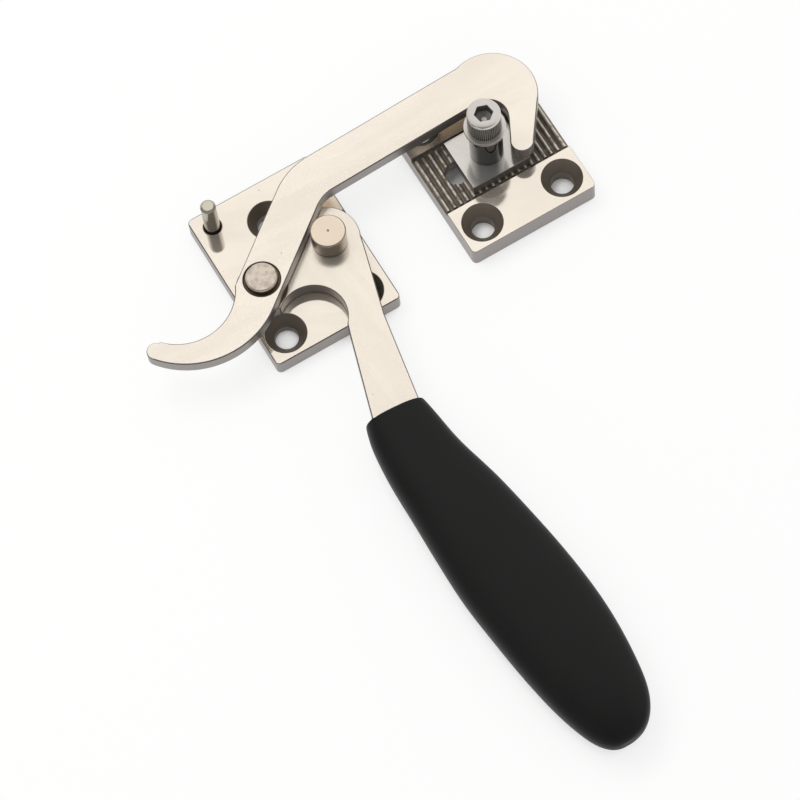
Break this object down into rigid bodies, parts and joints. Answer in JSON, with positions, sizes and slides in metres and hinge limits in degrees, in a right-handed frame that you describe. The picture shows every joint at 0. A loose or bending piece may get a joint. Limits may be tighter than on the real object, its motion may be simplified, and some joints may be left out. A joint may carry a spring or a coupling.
{
  "type": "enclosure handle lock",
  "caption": "Over-centre handle lock for an enclosure door: a lever with a moulded grip pulls a flat hook over a sleeve on a serrated, adjustable keeper plate.",
  "frame": {"origin": "the lever's pivot axis on the mounting plane, in the end of the pivot pin, level with the backs of both plates", "axes": "+Z out of the door, +X from the base plate to the keeper plate, +Y away from the handle, which hangs towards -Y"},
  "size_m": [0.1811, 0.2645, 0.0444],
  "materials": {
    "plate_steel": "polished",
    "bar_steel": "polished",
    "pin_steel": "polished",
    "sleeve_steel": "polished",
    "bolt_steel": "satin",
    "nut_steel": "plain",
    "bush_bronze": "plain",
    "grip_black": "matt"
  },
  "bodies": {
    "base": {"base_plate": "plate_steel", "pivot_pin": "pin_steel", "pivot_spacer": "nut_steel", "stop_pin": "pin_steel", "keeper_plate": "plate_steel", "striker_block": "bar_steel", "striker_sleeve": "sleeve_steel", "striker_washer": "sleeve_steel", "striker_bolt": "bolt_steel", "slot_nut": "nut_steel"},
    "handle": {"handle_lever": "bar_steel", "handle_grip": "grip_black", "crank_pin": "pin_steel"},
    "bush": {"crank_bush": "bush_bronze"},
    "hook": {"hook_arm": "bar_steel"}
  },
  "joints": [
    {"name": "handle_pivot", "type": "hinge", "parent": "base", "child": "handle", "pos_m": [0, 0, 0.012], "axis": [0, 0, -1], "range_deg": [0, 105]},
    {"name": "bush_turn", "type": "hinge", "parent": "handle", "child": "bush", "pos_m": [-0.03053, -0.00321, 0.0155], "axis": [0, 0, -1], "range_deg": [-105, 0]},
    {"name": "hook_lift", "type": "hinge", "parent": "bush", "child": "hook", "pos_m": [-0.03053, -0.00321, 0.019], "axis": [0, 0, 1], "range_deg": [0, 10]}
  ],
  "couplings": [
    {"joint": "bush_turn", "follows": "handle_pivot", "ratio": -1}
  ]
}
